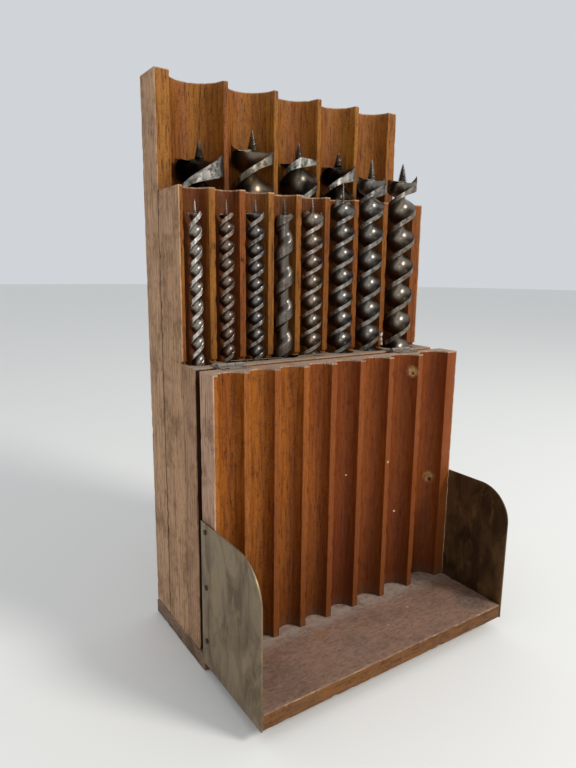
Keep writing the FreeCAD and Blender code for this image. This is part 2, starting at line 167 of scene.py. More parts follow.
def wear(piece, waves, nicks, seed, flat_foot=True):
    """Moves the points a little inwards: slow waves all over, and small nicks along the arrises.

    With flat_foot the underside keeps its height.
    """
    mesh = piece.data
    foot_z = min(v.co.z for v in mesh.vertices)
    offset = Vector((seed * 3.7, seed * 1.9, seed * 5.3))
    on_arris = set()
    for edge in mesh.edges:
        start, end = (mesh.vertices[index].co for index in edge.vertices)
        if (start - end).length < ARRIS:
            on_arris.update(edge.vertices)
    moves = []
    for v in mesh.vertices:
        slow = noise.noise(v.co * WAVES_PER_METRE + offset)
        depth = waves * (slow - 0.5)
        if v.index in on_arris:
            fine = noise.noise(v.co * NICKS_PER_METRE + offset)
            depth -= nicks * max(0.0, fine - NICKS_START) * NICKS_RISE
        moves.append(v.normal * depth)
    for v, move in zip(mesh.vertices, moves):
        if flat_foot and v.co.z < foot_z + 0.1 * MM:
            move.z = 0
        v.co += move
    return piece


def coved_board(name, node, coves, seed, kerf=None):
    """A board the size of its CAD node, coved along the given joints: (bores, joint's y)."""
    low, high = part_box(node)
    board = block(name, low, high)
    for bores, joint_y in coves:
        cut_away(board, [rod(x, joint_y, low.z - CUT_PAST, high.z + CUT_PAST, radius)
                         for x, radius in bores.values()])
    if kerf:
        cut_away(board, [block("kerf", *kerf)])
    ease_edges(board, ARRIS)
    slice_along(board, 2, BOARD_SLICE)
    wear(board, BOARD_WAVE, BOARD_NICK, seed)
    return shade_smooth(board)


def linear(hex_colour):
    """sRGB hex to linear RGBA."""
    parts = [int(hex_colour[i:i + 2], 16) / 255 for i in (1, 3, 5)]
    return [c / 12.92 if c <= 0.04045 else ((c + 0.055) / 1.055) ** 2.4 for c in parts] + [1.0]


def add_node(tree, kind, inputs=None, stops=(), **settings):
    """One node, with its settings and what goes into its sockets, by their names or numbers.

    What goes in is another node's output, a number, a vector or a hex colour. stops are those of a
    two-colour ramp: (place, hex colour), or (place, number) for a grey.
    """
    node = tree.nodes.new("ShaderNode" + kind)
    for key, value in settings.items():
        setattr(node, key, value)
    for socket, source in (inputs or {}).items():
        if isinstance(source, bpy.types.NodeSocket):
            tree.links.new(source, node.inputs[socket])
        else:
            node.inputs[socket].default_value = linear(source) if isinstance(source, str) else source
    for k, (place, colour) in enumerate(stops):
        stop = node.color_ramp.elements[k]
        stop.position = place
        stop.color = linear(colour) if isinstance(colour, str) else (colour, colour, colour, 1)
    return node


def new_finish(name, look):
    """A material, its nodes, its Principled shader and object coordinates in millimetres."""
    material = bpy.data.materials.new(name)
    material.use_nodes = True
    tree = material.node_tree
    tree.nodes.clear()
    shader = add_node(tree, "BsdfPrincipled", look)
    add_node(tree, "OutputMaterial", {"Surface": shader.outputs["BSDF"]})
    metres = add_node(tree, "TexCoord").outputs["Object"]
    place = add_node(tree, "Mapping", {"Vector": metres, "Scale": (1000, 1000, 1000)})
    return material, tree, shader, place.outputs["Vector"]


def share_of(tree, *covers):
    """How much of the surface a layer covers: the product of its covers.

    A cover is a number, a socket or (socket, from, to), which rises smoothly from 0 to 1.
    """
    share = None
    for cover in covers:
        if isinstance(cover, tuple):
            value, start, end = cover
            cover = add_node(tree, "MapRange", {"Value": value, "From Min": start, "From Max": end},
                             interpolation_type="SMOOTHSTEP").outputs["Result"]
        if share is not None:
            cover = add_node(tree, "Math", {0: share, 1: cover}, operation="MULTIPLY").outputs[0]
        share = cover
    return share


def lay_over(tree, below, above, *covers):
    """Lays one colour over another as far as its covers let it; each is a socket or a hex colour."""
    share = share_of(tree, *covers)
    return add_node(tree, "Mix", {0: share, 6: below, 7: above}, data_type="RGBA").outputs[2]


def close_to(tree, value, position, width):
    """1 where the value is at the position, and 0 farther than the width from it."""
    gap = add_node(tree, "Math", {0: value, 1: position}, operation="SUBTRACT").outputs[0]
    distance = add_node(tree, "Math", {0: gap}, operation="ABSOLUTE").outputs[0]
    return share_of(tree, (distance, width, width * 0.25))


def patches(tree, place, per_mm, start, end, detail=5.0, roughness=0.65, distortion=0.0):
    """Patches about 1 / per_mm millimetres wide: 0 where the noise is below start, 1 above end."""
    cloud = add_node(tree, "TexNoise", {"Vector": place, "Scale": per_mm, "Detail": detail,
                                        "Roughness": roughness, "Distortion": distortion})
    return share_of(tree, (cloud.outputs["Fac"], start, end))


def settle_dust(tree, colour, place, amount):
    """Grey dust lying on whatever faces up, in fluff 2 mm across."""
    facing = add_node(tree, "TexCoord").outputs["Normal"]
    upward = add_node(tree, "SeparateXYZ", {0: facing}).outputs[2]
    fluff = patches(tree, place, 0.55, 0.30, 0.62, roughness=0.75)
    return lay_over(tree, colour, "#8F877A", (upward, 0.35, 0.85), fluff, amount)


def give_surface(tree, shader, colour, roughness, relief, strength, depth):
    """Gives the shader its colour, its roughness and a relief this deep."""
    bump = add_node(tree, "Bump", {"Height": relief, "Strength": strength, "Distance": depth})
    tree.links.new(colour, shader.inputs["Base Color"])
    tree.links.new(roughness, shader.inputs["Roughness"])
    tree.links.new(bump.outputs["Normal"], shader.inputs["Normal"])


VARNISH_ROUGHNESS = 0.42
BARE_WOOD_ROUGHNESS = 0.82
FIGURE_STRETCH = 0.06                 # how wide the figure and the pores are, in their own lengths
PORE_STRETCH = 0.085
PORE_DIRT = "#1E0C05"


def mahogany(name, seed, gold, red, deep, bare, bare_dark, faces, along=2, tints_and_shade=(), seams=(),
             films=(), spots=(), arris=(), bare_stretch=0.035, dust=0.0):
    """Oiled and varnished hardwood, quarter sawn, with open pores along the grain.

    The varnish gives a soft sheen broken up by the pores. gold, red and deep are its tones, and bare
    and bare_dark those of the faces left bare, which are (axis, position, side). Each tint colours the
    varnish along an axis, from one place to another: (axis, from, to, amount, colour); some are real
    tints, dust and wear, and some are painted shade deep in the coves and bores or in the gap behind
    the lid. films do the same on the bare faces. seams are joints black with dirt: (axis, position).
    spots are small marks: (centre, radius, amount, colour). arris is an edge rubbed pale, where two
    (axis, position) planes meet. Places and sizes are in millimetres.
    """
    material, tree, shader, place = new_finish(name, {"IOR": 1.5, "Specular IOR Level": 0.14})
    split = add_node(tree, "SeparateXYZ", {0: place}).outputs
    shifts = ((FIGURE_STRETCH, (31, 17, 7)), (PORE_STRETCH, (13, 0, 1)), (bare_stretch, (5, 3, 0)))
    grains = []
    for stretch, shift in shifts:
        scale = [stretch if axis == along else 1.0 for axis in range(3)]
        grains.append(add_node(tree, "Mapping", {"Vector": place, "Scale": scale,
                                                 "Location": [seed * step for step in shift]}).outputs[0])
    figure_grain, pore_grain, bare_grain = grains

    # broad figure, about 18 mm wide
    colour = lay_over(tree, gold, red, patches(tree, figure_grain, 0.055, 0.36, 0.66, 3.0, 0.55))
    # growth streaks a millimetre or two wide
    streak = add_node(tree, "TexNoise", {"Vector": figure_grain, "Scale": 0.75, "Detail": 4.0,
                                         "Roughness": 0.6}).outputs["Fac"]
    colour = lay_over(tree, colour, deep, (streak, 0.42, 0.72), 0.68)
    # blotches of 9 mm where the varnish is thin or dirty
    blotch = add_node(tree, "TexNoise", {"Vector": place, "Scale": 0.11, "Detail": 6.0,
                                         "Roughness": 0.72}).outputs["Fac"]
    colour = lay_over(tree, colour, deep, (blotch, 0.50, 0.72), 0.4)
    # a stipple of dirt in the varnish, about a millimetre
    colour = lay_over(tree, colour, PORE_DIRT, patches(tree, place, 0.9, 0.55, 0.66, 3.0, 0.6), 0.4)
    # pores: short dark dashes up to 6 mm long, drawn half a millimetre wide so that they show
    pores = share_of(tree, patches(tree, pore_grain, 1.9, 0.58, 0.70, 2.0, 0.5), 0.7)
    colour = lay_over(tree, colour, PORE_DIRT, pores)
    # the tints: some real tints, dust and wear, some painted shade in the coves, the bores and the gap behind
    # the lid
    for axis, start, end, amount, tint in tints_and_shade:
        colour = lay_over(tree, colour, tint, (split[axis], start, end), amount)

    # the bare faces: grey-pink where the weather has got to them, with dark streaks of a millimetre
    # and stains of 17 mm
    bare_colour = lay_over(tree, bare, bare_dark, patches(tree, bare_grain, 0.9, 0.40, 0.74, 5.0, 0.7, 0.4))
    stain = patches(tree, place, 0.06, 0.46, 0.68, 6.0, 0.7)
    bare_colour = lay_over(tree, bare_colour, bare_dark, stain, 0.75)
    bare_colour = lay_over(tree, bare_colour, "#4A3020", pores)
    bareness = None
    for axis, position, side in faces:
        mask = share_of(tree, (split[axis], position - side * 0.9, position - side * 0.4))
        if bareness is not None:
            mask = add_node(tree, "Math", {0: bareness, 1: mask}, operation="MAXIMUM").outputs[0]
        bareness = mask
    colour = lay_over(tree, colour, bare_colour, bareness)

    for axis, position in seams:
        colour = lay_over(tree, colour, "#0E0806", close_to(tree, split[axis], position, 1.3), bareness)
    for axis, start, end, amount, tint in films:
        film = patches(tree, place, 0.25, 0.30, 0.60, 4.0)
        colour = lay_over(tree, colour, tint, (split[axis], start, end), film, bareness, amount)
    for centre, radius, amount, tint in spots:
        away = add_node(tree, "VectorMath", {0: place, 1: centre}, operation="DISTANCE").outputs["Value"]
        covers = [(away, radius, radius * 0.35), amount]
        if radius > 4:
            covers.append(patches(tree, place, 0.4, 0.34, 0.58, 5.0, 0.75))
        colour = lay_over(tree, colour, tint, *covers)
    if arris:
        edges = [close_to(tree, split[axis], position, 0.9) for axis, position in arris]
        rubbed = patches(tree, place, 0.12, 0.47, 0.66, 5.0)
        colour = lay_over(tree, colour, "#C09A68", *edges, rubbed, 0.7)
    if dust:
        colour = settle_dust(tree, colour, place, dust)

    # the varnish is dull over the blotches, and the bare faces have none
    varnish = add_node(tree, "MapRange", {"Value": blotch, "To Min": VARNISH_ROUGHNESS - 0.08,
                                          "To Max": VARNISH_ROUGHNESS + 0.28}).outputs["Result"]
    roughness = add_node(tree, "Mix", {0: bareness, 2: varnish, 3: BARE_WOOD_ROUGHNESS}, data_type="FLOAT")
    relief = add_node(tree, "Math", {0: streak, 1: pores}, operation="SUBTRACT")
    give_surface(tree, shader, colour, roughness.outputs[0], relief.outputs[0], 0.55, 0.22 * MM)
    return material


def paint(piece, material):
    """Gives the piece this material alone."""
    piece.data.materials.clear()
    piece.data.materials.append(material)


def dress(piece, material, body, node):
    """Gives a piece its material and the body it rides on, and hides the CAD node it stands for."""
    paint(piece, material)
    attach(piece, body)
    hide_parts(node)


def box_in_mm(node):
    """The node's lowest and highest corners in millimetres, as the materials measure."""
    low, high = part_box(node)
    return low / MM, high / MM


back_board = coved_board("back_board", "back_block", [(back_bores, back_joint_y)], 1)
low, high = box_in_mm("back_block")
# its tint paints shade: the coves go dark brown from 35 mm below the top downwards, where they lie deep
# behind the bits
back_wood = mahogany("mahogany_back_block", 1, "#96601F", "#82481C", "#50260B", "#BE9877", "#7E5F46",
                     [(0, low.x, -1), (0, high.x, 1), (1, high.y, 1), (2, high.z, 1)],
                     spots=[((-3.8, 13.4, 287.3), 3.0, 0.6, "#5B5A36"), ((-7, 16, 298), 6.0, 0.7, "#56343A")],
                     tints_and_shade=[(2, high.z - 35, high.z - 75, 0.6, "#2A1004")], dust=0.35)
dress(back_board, back_wood, "case", "back_block")

# ---------------------------------------------------------------- middle block
# Coved on both faces: wide coves that meet the back block's, narrow ones in front. A saw kerf runs
# into its front lands at the height of the ledge, from when the lid was sawn off the front board.
FRONT_BITS = (4, 5, 6, 7, 8, 9, 10, 11)
FRONT_LEFT_LAND = 2.4 * MM
FRONT_LAND = 3.5 * MM
FRONT_CLEARANCE = 1.35 * MM
SMALLEST_BORE = 6.7 * MM              # its radius
KERF_HEIGHT = 1.4 * MM
KERF_DEPTH = 1.6 * MM
BRIGHT_CHIP = "#C6C6C0"               # three chips one below the other, the lowest a little duller

middle_low, middle_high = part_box("middle_block")
front_joint_y = middle_low.y
front_bores = bore_row(FRONT_BITS, FRONT_LEFT_LAND, FRONT_LAND,
                       lambda s: max(SMALLEST_BORE, s * SIXTEENTH / 2 + FRONT_CLEARANCE))
kerf_low_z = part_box("lower_front_board")[1].z
kerf_cut = ((middle_low.x - CUT_PAST, front_joint_y - CUT_PAST, kerf_low_z),
            (middle_high.x + CUT_PAST, front_joint_y + KERF_DEPTH, kerf_low_z + KERF_HEIGHT))
middle_board = coved_board("middle_board", "middle_block",
                           [(back_bores, back_joint_y), (front_bores, front_joint_y)], 2, kerf_cut)
low, high = box_in_mm("middle_block")
# its tint paints shade: the front coves go dark red-brown from the front face back into the bores, where they
# close round the bits
middle_wood = mahogany("mahogany_middle_block", 2, "#8C5A20", "#7C4217", "#4A220A", "#B89270", "#78573F",
                       [(0, low.x, -1), (0, high.x, 1), (2, high.z, 1)],
                       tints_and_shade=[(1, low.y + 0.5, low.y + 4.5, 0.6, "#441606")],
                       spots=[((51.3, -12.3, 165.4), 1.5, 1.0, BRIGHT_CHIP),
                              ((51.6, -12.3, 162.6), 1.5, 1.0, BRIGHT_CHIP),
                              ((51.8, -12.3, 159.9), 1.5, 1.0, "#B4B4AE"),
                              ((-45.8, -12.3, 208.6), 1.3, 0.8, "#1A0B05")],
                       seams=[(1, back_joint_y / MM)], dust=0.5)
dress(middle_board, middle_wood, "case", "middle_block")

# ---------------------------------------------------------------- lower front board
# What is left of the front board below the saw cut. Its top is the ledge that the lid is hinged to.
# Its front is varnished, and painted black towards the left end: painted shade in the gap between it and the
# lid.
lower_board = coved_board("lower_board", "lower_front_board", [(front_bores, front_joint_y)], 3)
low, high = box_in_mm("lower_front_board")
lower_wood = mahogany("mahogany_lower_board", 3, "#8C5018", "#6E350F", "#421B07", "#AC8769", "#7B5C47",
                      [(0, low.x, -1), (0, high.x, 1), (2, high.z, 1)],
                      tints_and_shade=[(0, low.x + 22, low.x + 3, 0.9, "#180C06")], dust=0.85)
dress(lower_board, lower_wood, "case", "lower_front_board")

# ---------------------------------------------------------------- lid board
# The upper part of the front board, now hanging upside down in front. It keeps the narrow coves that
# close round the front bits, varnished inside, with its sides and sawn edge left bare.
LID_FACE_GAP = 0.4 * MM
PALE_CHIP = "#D8C09A"

lid_joint_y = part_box("lid_board")[0].y - LID_FACE_GAP
lid_board = coved_board("lid_coves", "lid_board", [(front_bores, lid_joint_y)], 4)
low, high = box_in_mm("lid_board")
# the tints make it redder to the right, darker towards the foot and dustier there, and its lands a little
# paler
lid_wood = mahogany("mahogany_lid", 4, "#965618", "#783A0F", "#50230A", "#BC987E", "#74543F",
                    [(0, low.x, -1), (0, high.x, 1), (2, high.z, 1)],
                    tints_and_shade=[(0, low.x + 12, high.x - 30, 0.65, "#64270B"),
                           (2, high.z - 50, low.z, 0.5, "#341008"),
                           (2, low.z + 9, low.z + 1, 0.35, "#4A3A2C"),
                           (1, low.y + 0.9, low.y + 0.3, 0.18, "#A4622F")],
                    spots=[((28.6, -46.0, 97.9), 1.1, 0.8, "#CDAA80"),
                           ((3.1, -40.7, 93.3), 0.7, 0.9, PALE_CHIP),
                           ((43.1, -38.3, 62.2), 0.9, 0.9, PALE_CHIP),
                           # two knot holes, each dark within a pale rim
                           ((69.5, -39.8, 79.5), 4.6, 0.8, "#A98050"),
                           ((70.3, -39.8, 77.9), 2.0, 0.95, "#1E0D06"),
                           ((47.8, -42.9, 147.4), 4.4, 0.9, "#C09A68"),
                           ((48.4, -42.9, 146.4), 1.4, 0.9, "#3A1D0C")],
                    dust=0.6)
dress(lid_board, lid_wood, "lid", "lid_board")

# ---------------------------------------------------------------- lid's top board
# A plain board nailed across the lid's end. With the lid open it lies as a tray floor, dusty and
# scuffed on top, its front edge varnished and rubbed pale along the arris.
PLANK_ARRIS = 0.9 * MM
PLANK_WAVE = 0.1 * MM
PLANK_NICK = 0.5 * MM
TRAY_SLICE = 2.5 * MM
SCRATCH = "#C0A488"


def plank(name, node, slice_x, slice_y, seed, flat_foot=True):
    """A plain board with worn edges, cut every so far along x and along y."""
    board = block(name, *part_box(node))
    ease_edges(board, PLANK_ARRIS)
    slice_along(board, 0, slice_x)
    slice_along(board, 1, slice_y)
    wear(board, PLANK_WAVE, PLANK_NICK, seed, flat_foot)
    return shade_smooth(board)


floor_board = plank("tray_floor", "lid_top_board", TRAY_SLICE, TRAY_SLICE, 5, flat_foot=False)
low, high = box_in_mm("lid_top_board")
floor_wood = mahogany("mahogany_tray_floor", 5, "#7C5028", "#5F3C20", "#402814", "#906C58", "#684838",
                      [(2, high.z, 1), (0, low.x, -1), (0, high.x, 1)],
                      along=0, films=[(1, -56, -46, 0.6, "#A89A8E"), (1, -78, -91, 0.35, "#5A4232")],
                      spots=[((69, -77, 15.1), 13, 0.8, "#453D3A"), ((50, -66, 15.1), 15, 0.45, "#5E4A3C"),
                             ((-58, -78, 15.1), 20, 0.55, "#5A4536"), ((-15, -76, 15.1), 14, 0.4, "#645650"),
                             ((-24, -57, 15.1), 5, 0.7, "#8C5A2A"), ((-66, -56, 15.1), 12, 0.5, "#6A4A30"),
                             ((12, -70, 15.1), 0.9, 0.7, SCRATCH), ((33, -63, 15.1), 1.1, 0.7, SCRATCH)],
                      arris=[(1, low.y), (2, high.z)], bare_stretch=0.3, dust=0.25)
dress(floor_board, floor_wood, "lid", "lid_top_board")

# ---------------------------------------------------------------- base board
# One thin board under all three blocks, with its end grain to the left. It stands out in front as a
# lip, which the open lid's top board rests against.
BASE_SLICE_X = 4 * MM
BASE_SLICE_Y = 3 * MM

base_piece = plank("base_plank", "base_board", BASE_SLICE_X, BASE_SLICE_Y, 6)
low, high = box_in_mm("base_board")
base_wood = mahogany("mahogany_base", 6, "#7C5438", "#65412E", "#4A2C1E", "#8A6F5C", "#54412F",
                     [(0, low.x, -1), (0, high.x, 1)], along=0, dust=0.5)
dress(base_piece, base_wood, "case", "base_board")

# ---------------------------------------------------------------- side plates of the lid
# Thin sheet brass, cut with snips, one big round corner. It has gone a dull grey-olive, with darker
# runs and a few rubbed places where the yellow shows.
PLATE_CORNER = 19.6 * MM
PLATE_ARRIS = 0.12 * MM
PLATE_SLICE = 2.5 * MM
PLATE_BOW = 0.12 * MM
BOWS_PER_METRE_Y = 30
BOWS_PER_METRE_Z = 24


def side_plate(name, node, seed):
    """The plate with its corner cut round, bowed a little as beaten sheet is."""
    low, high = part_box(node)
    corner_y = low.y + PLATE_CORNER
    corner_z = high.z - PLATE_CORNER
    plate = block(name, low, high)
    corner = rod(0, 0, low.x - CUT_PAST, high.x + CUT_PAST, PLATE_CORNER, sides=128)
    corner.data.transform(Matrix.Rotation(math.pi / 2, 4, "Y"))
    corner.data.transform(Matrix.Translation((0, corner_y, corner_z)))
    waste = block("waste", (low.x - CUT_PAST, low.y - CUT_PAST, corner_z),
                  (high.x + CUT_PAST, corner_y, high.z + CUT_PAST))
    cut_away(waste, [corner])
    cut_away(plate, [waste])
    ease_edges(plate, PLATE_ARRIS, segments=2)
    slice_along(plate, 1, PLATE_SLICE)
    slice_along(plate, 2, PLATE_SLICE)
    for v in plate.data.vertices:
        bow = noise.noise(Vector((seed, v.co.y * BOWS_PER_METRE_Y, v.co.z * BOWS_PER_METRE_Z)))
        v.co.x += PLATE_BOW * bow
    return shade_smooth(plate)


def old_brass(name, seed, light, dark, rub):
    """Old sheet brass, rolled: a dull oxide skin, streaked and spotted, with soft broad reflections."""
    material, tree, shader, place = new_finish(name, {"Metallic": 0.7})
    runs = add_node(tree, "Mapping", {"Vector": place, "Scale": (1, 1, 0.45),
                                      "Location": (seed, seed * 3, seed * 5)}).outputs[0]
    # runs of darker oxide, 13 mm wide
    oxide = add_node(tree, "TexNoise", {"Vector": runs, "Scale": 0.075, "Detail": 7.0, "Roughness": 0.62,
                                        "Distortion": 0.7}).outputs["Fac"]
    tone = add_node(tree, "ValToRGB", {"Fac": oxide}, stops=((0.40, light), (0.60, dark)))
    # rubbed places, 6 mm wide
    rubbing = add_node(tree, "TexNoise", {"Vector": runs, "Scale": 0.16, "Detail": 5.0, "Roughness": 0.7})
    rubbed = add_node(tree, "ValToRGB", {"Fac": rubbing.outputs["Fac"]}, stops=((0.54, 0.0), (0.68, 0.85)))
    colour = lay_over(tree, tone.outputs["Color"], rub, rubbed.outputs["Color"])
    # dark specks, 2 or 3 mm apart
    speck = add_node(tree, "TexVoronoi", {"Vector": place, "Scale": 0.42, "Randomness": 1.0})
    specks = add_node(tree, "ValToRGB", {"Fac": speck.outputs["Distance"]}, stops=((0.05, 0.6), (0.12, 0.0)))
    colour = lay_over(tree, colour, "#2B2820", specks.outputs["Color"])
    rough = add_node(tree, "MapRange", {"Value": oxide, "To Min": 0.38, "To Max": 0.65})
    # dents of 2 mm
    dents = add_node(tree, "TexNoise", {"Vector": place, "Scale": 0.5, "Detail": 6.0, "Roughness": 0.7})
    give_surface(tree, shader, colour, rough.outputs["Result"], dents.outputs["Fac"], 0.25, 0.2 * MM)
    return material


# by side: its seed, the light and the dark oxide, and the metal where it is rubbed. The right plate's tones
# are darker and browner than the left's: partly its oxide, partly painted shade and a painted reflection of
# the wood on its inner face.
PLATE_LOOKS = {
    "left": (2, "#8C7A60", "#63533E", "#938058"),
    "right": (9, "#705638", "#44301C", "#80663A"),
}
for side, (seed, light, dark, rub) in PLATE_LOOKS.items():
    brass = old_brass("dulled_sheet_brass_" + side, seed, light, dark, rub)
    node = "side_plate_" + side
    dress(side_plate("plate_" + side, node, seed), brass, "lid", node)

# ---------------------------------------------------------------- nails, screws and hinges
# Cut steel nails and wood screws, brown with rust, and two small iron butt hinges let into the saw
# cut. All are plain hardware, so the CAD shapes stay and only take their finish.
RUST_ROUGHNESS = 0.8


def rusty_iron(name, iron, rust, metallic, roughness, dust=0.0):
    """Small forged or cut iron, browned by rust in patches of a millimetre, with a dull glint."""
    material, tree, shader, place = new_finish(name, {"Metallic": metallic})
    spots = add_node(tree, "TexNoise", {"Vector": place, "Scale": 0.9, "Detail": 5.0,
                                        "Roughness": 0.65}).outputs["Fac"]
    colour = add_node(tree, "ValToRGB", {"Fac": spots}, stops=((0.42, iron), (0.62, rust))).outputs["Color"]
    if dust:
        colour = settle_dust(tree, colour, place, dust)
    rough = add_node(tree, "MapRange", {"Value": spots, "To Min": roughness, "To Max": RUST_ROUGHNESS})
    give_surface(tree, shader, colour, rough.outputs["Result"], spots, 0.4, 0.2 * MM)
    return material


hinge_iron = rusty_iron("browned_hinge_iron", "#6E655C", "#6A5444", 0.1, 0.6, dust=1.0)
nail_iron = rusty_iron("rusty_nail_iron", "#3B3531", "#563626", 0.8, 0.4)
for node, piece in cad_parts.items():
    if node.startswith(("hinge_leaf", "hinge_pin")):
        paint(piece, hinge_iron)
    elif "nails" in node or "screws" in node:
        paint(piece, nail_iron)

# ---------------------------------------------------------------- auger bits
# Hand-forged augers for a brace: square tang, round shank and a right-hand twist of two ribs with deep
# flutes between, each ending in a cutting lip and a spur, round a threaded lead screw. The 7/16 has
# one broad rib, and so one lip. Each bit stands on its tang in its bore.
SOLID_CENTRE = 7                      # the bit whose one rib winds round a solid centre
SOLID_CORE = 0.58                     # the radius of that centre, in nominal radii
SOLID_BREADTH = 0.92                  # how broad its whole twist is, in nominal breadths
LAND_REACH = 0.985                    # how far the ribs reach, in nominal radii
STEPS_PER_TURN = 48
NECK_LENGTH = 1.1                     # over which the ribs rise from the shank, in radii
NECK_CURVE = 1.6
LAG_FADE = 0.6                        # below the head, in rib pitches
WING_FADE = 0.24
TOP_RING = 1e-4
HEAD_FLOOR = 0.15                     # how deep the head is hollowed, in radii
LEADING_GRIND = 0.13                  # how far the head slopes down on each side of a lip, in radii
TRAILING_GRIND = 0.14
SPUR_LAG = 0.3                        # how far behind a rib's middle a spur stands, in half ribs
SPUR_WIDTH = 0.75
SCREW_SIDES = 14
THREAD_PITCH = 0.8 * MM
THREAD_CORE = 0.84                    # the round section's radius and its swing, in the screw's radii
THREAD_SWING = 0.18
SCREW_TAPER = 0.68
SCREW_POINT = 0.02
SCREW_SINK = 0.16                     # how deep the lead screw's foot is in the head, in radii
TANG_LENGTH = 30 * MM
TANG_TIP = 3.2 * MM                   # its radius over the corners
TANG_CHAMFER = 0.5 * MM
SQUARE_CORNER = 0.7071                # from the centre, in sides of the square
SHANK_OVERLAP = 1 * MM

# every bit's own sizes, by its number of sixteenths: the twist and the lead screw in millimetres
RIB_PITCHES = {4: 8.9, 5: 8.65, 6: 8.6, 7: 17.4, 8: 10.6, 9: 11.9, 10: 14.3, 11: 16.6,
               12: 18.1, 13: 19.6, 14: 21.1, 15: 22.6, 16: 24.1}
LEAD_SCREW_HEIGHTS = {4: 6.4, 5: 7.3, 6: 6.2, 7: 8.9, 8: 7.4, 9: 10.5, 10: 10.5, 11: 9.6,
                      12: 9.6, 13: 8.8, 14: 9.4, 15: 10.0, 16: 9.2}
LEAD_SCREW_RADII = {4: 0.9, 5: 1.1, 6: 1.2, 7: 1.5, 8: 1.6, 9: 1.1, 10: 2.4, 11: 2.9,
                    12: 3.1, 13: 3.2, 14: 3.0, 15: 3.3, 16: 3.0}
# how far it stands to the right of its bore's centre, in millimetres
LEANS = {4: -0.7, 5: -0.8, 6: -1.1, 7: -0.8, 8: -0.9, 9: 0.2, 10: -0.9, 11: 0.2,
         12: 0.0, 13: 0.6, 14: 0.6, 15: 0.4, 16: 0.4}
# where its first lip points, and by how much the first turn below the head is slower, in degrees
HEAD_ANGLES = {4: -44, 5: -66, 6: -38, 7: -73, 8: 19, 9: 31, 10: -12, 11: -21,
               12: -34, 13: -38, 14: -106, 15: -24, 16: -43}
HEAD_LAGS = {4: 21, 6: 36, 8: 31, 11: -20}
# how far a lip's wing reaches round the rim ahead of its rib's middle, in degrees, and how far down,
# in rib pitches
WINGS = {4: 28, 5: 28, 6: 28, 7: 40, 8: 30, 9: 30, 10: 40, 11: 45, 12: 40, 13: 62, 14: 75, 15: 40, 16: 64}
WING_DEPTH = 0.35
WING_DEPTHS = {10: 0.4, 11: 0.45, 12: 0.4, 13: 0.48, 14: 0.22, 15: 0.4, 16: 0.48}
# how high its two spurs stand, in radii: filing and use have left them uneven
SPUR_PAIR = (0.15, 0.15)
SPURS = {10: (0.2, 0.1), 11: (0.34, 0.05), 12: (0.12, 0.15), 13: (0.18, 0.0), 14: (0.0, 0.0),
         15: (0.16, 0.30), 16: (0.11, 0.0)}


def eased(value):
    """0 below 0, 1 above 1 and smooth between."""
    value = min(1.0, max(0.0, value))
    return value * value * (3 - 2 * value)


def at_angle(angle, reach):
    """The point this far out in this direction."""
    return reach * Vector((math.cos(angle), math.sin(angle)))


def rib_half(r):
    """Half the breadth of a rib at the rim, in radii."""
    return (0.9 * MM + 0.17 * r) / r


def twist_section(size, r):
    """The twist's cross-section, anticlockwise: a flat bar, or one broad rib on a round core."""
    rib = rib_half(r)
    rib_angle = math.asin(rib)
    points = [at_angle(rib_angle * k / 5, LAND_REACH * r) for k in range(-5, 6)]
    if size == SOLID_CENTRE:
        # a steep leading side and a long slope behind
        for k in range(1, 60):
            angle = rib_angle + (2 * math.pi - 2 * rib_angle) * k / 60
            drop = max(0.0, 1 - (angle - rib_angle) / math.radians(32)) ** 1.5
            slope = eased((angle - math.radians(170)) / math.radians(105))
            reach = SOLID_CORE + (LAND_REACH - SOLID_CORE) * max(drop, slope)
            points.append(at_angle(angle, reach * r))
        return points
    middle = (0.65 * MM + 0.17 * r) / r
    waist = 0.85 * middle
    # thickest in the middle, waisted, and flared again into the ribs
    for k in range(1, 24):
        along = 0.95 * math.cos(math.pi * k / 24)
        half = waist + (middle - waist) * math.cos(min(1.0, abs(along) / 0.55) * math.pi / 2) ** 2
        half += (0.98 * rib - waist) * max(0.0, (abs(along) - 0.7) / 0.3) ** 2
        points.append(r * Vector((along, half)))
    return points + [-point for point in points]


